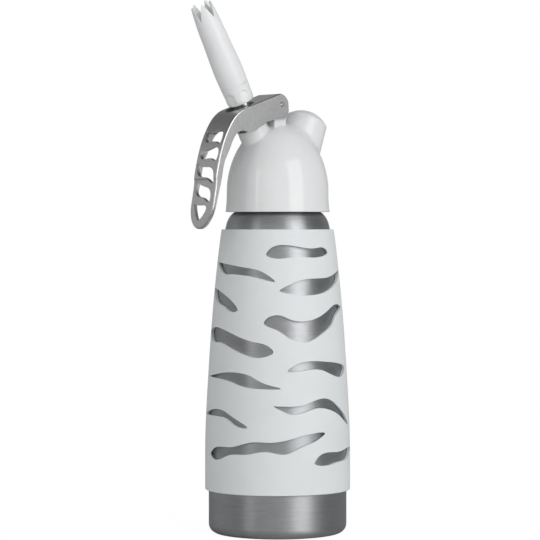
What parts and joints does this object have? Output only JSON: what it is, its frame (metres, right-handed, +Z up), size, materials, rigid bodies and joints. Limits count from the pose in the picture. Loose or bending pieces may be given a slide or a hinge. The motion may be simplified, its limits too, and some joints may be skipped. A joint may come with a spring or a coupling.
{
  "type": "whipped cream dispenser",
  "caption": "Whipped cream dispenser: a tapered metal bottle in a striped white grip sleeve, with a screwed head, a squeeze lever valve, a toothed nozzle and a capped charger port.",
  "frame": {"origin": "centre of the bottle's base, on the bottle's axis", "axes": "+Z up along the bottle; the lever and the nozzle lean toward -X and the charger port toward +X"},
  "size_m": [0.1015, 0.0842, 0.3063],
  "materials": {
    "bottle_metal": "fine horizontal brushing",
    "sleeve_silicone": "matt soft silicone",
    "head_plastic": "high gloss",
    "nozzle_plastic": "satin",
    "lever_metal": "satin cast with a brighter ground edge",
    "pin_metal": "polished",
    "core_metal": "machined",
    "valve_metal": "turned",
    "spring_steel": "drawn wire",
    "seal_rubber": "matt"
  },
  "bodies": {
    "bottle": {"bottle": "bottle_metal"},
    "sleeve": {"grip_sleeve": "sleeve_silicone"},
    "neck_seal": {"head_gasket": "seal_rubber"},
    "head": {"head_shell": "head_plastic", "head_core": "core_metal", "valve_guide": "valve_metal", "pivot_pin": "pin_metal", "port_insert": "core_metal", "piercing_pin": "pin_metal", "pin_gasket": "seal_rubber", "check_seat": "valve_metal", "check_spring": "spring_steel", "valve_spring": "spring_steel"},
    "lever": {"lever": "lever_metal"},
    "valve": {"valve_stem": "valve_metal", "push_collar": "valve_metal", "valve_seal": "seal_rubber", "valve_nut": "valve_metal", "stem_o_ring": "seal_rubber", "lower_o_ring": "seal_rubber"},
    "tip_seal": {"nozzle_washer": "seal_rubber"},
    "nozzle": {"decorator_nozzle": "nozzle_plastic"},
    "port_seal": {"cap_seal": "seal_rubber"},
    "port_cap": {"port_cap": "head_plastic"},
    "check_ball": {"check_ball": "pin_metal"}
  },
  "joints": [
    {"name": "sleeve_lift", "type": "slide", "parent": "bottle", "child": "sleeve", "axis": [0, 0, 1], "range_m": [0, 0.008]},
    {"name": "head_rise", "type": "slide", "parent": "bottle", "child": "neck_seal", "axis": [0, 0, 1], "range_m": [0, 0.0081]},
    {"name": "head_turn", "type": "hinge", "parent": "neck_seal", "child": "head", "pos_m": [0, 0, 0.2], "axis": [0, 0, 1], "range_deg": [0, 720]},
    {"name": "lever_press", "type": "hinge", "parent": "head", "child": "lever", "pos_m": [-0.00495, 0, 0.2478], "axis": [0, -1, 0], "range_deg": [0, 8], "stiffness_Nm_per_rad": 2, "springref_deg": -5.73},
    {"name": "valve_slide", "type": "slide", "parent": "head", "child": "valve", "axis": [0.4587, 0, -0.8886], "range_m": [0, 0.0018], "deforming": ["valve_spring"]},
    {"name": "nozzle_rise", "type": "slide", "parent": "valve", "child": "tip_seal", "axis": [-0.4587, 0, 0.8886], "range_m": [0, 0.005]},
    {"name": "nozzle_turn", "type": "hinge", "parent": "tip_seal", "child": "nozzle", "pos_m": [-0.03027, 0, 0.25775], "axis": [-0.4587, 0, 0.8886], "range_deg": [0, 724]},
    {"name": "cap_rise", "type": "slide", "parent": "head", "child": "port_seal", "axis": [0.4226, 0, 0.9063], "range_m": [0, 0.005]},
    {"name": "cap_turn", "type": "hinge", "parent": "port_seal", "child": "port_cap", "pos_m": [0.02113, 0, 0.23831], "axis": [0.4226, 0, 0.9063], "range_deg": [0, 724]},
    {"name": "check_ball_slide", "type": "slide", "parent": "head", "child": "check_ball", "axis": [-0.4226, 0, -0.9063], "range_m": [0, 0.001], "stiffness_N_per_m": 100, "springref_m": -0.001, "deforming": ["check_spring"]}
  ],
  "couplings": [
    {"joint": "head_rise", "follows": "head_turn", "m_per_rad": 0.00063662},
    {"joint": "valve_slide", "follows": "lever_press", "m_per_rad": 0.0125},
    {"joint": "nozzle_turn", "follows": "nozzle_rise", "rad_per_m": 2513.3},
    {"joint": "cap_turn", "follows": "cap_rise", "rad_per_m": 2513.3}
  ]
}
